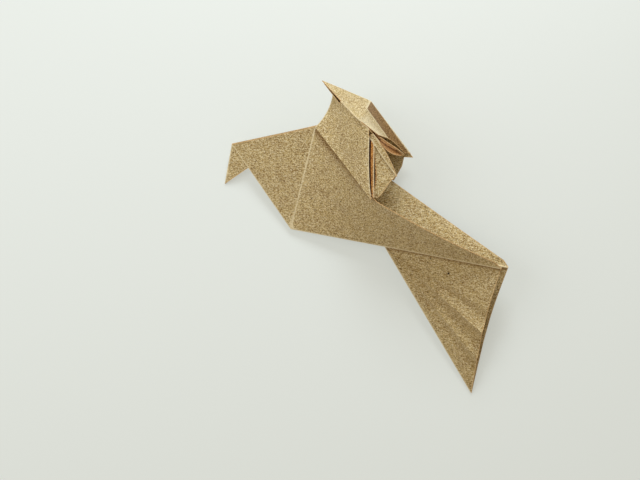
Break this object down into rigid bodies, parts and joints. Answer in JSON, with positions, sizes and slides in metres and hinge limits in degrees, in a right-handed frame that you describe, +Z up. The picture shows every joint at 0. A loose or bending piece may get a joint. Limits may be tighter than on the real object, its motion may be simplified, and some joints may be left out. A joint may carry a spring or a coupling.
{
  "type": "origami bird",
  "caption": "Small bird folded from one square of brown kraft paper, with raised wings, bent head and broad pleated tail, lying on its side.",
  "frame": {"origin": "centre of the bounding box, at its base on the table", "axes": "+X runs towards the tail along the line of the bird's body, +Y runs towards its back and wing tips, +Z points up from the table out of the near side"},
  "size_m": [0.1086, 0.119, 0.0282],
  "materials": {
    "kraft_paper": "uncoated brown kraft paper with fine fibres and specks"
  },
  "bodies": {
    "root": {"folded_bird": "kraft_paper"}
  },
  "joints": []
}
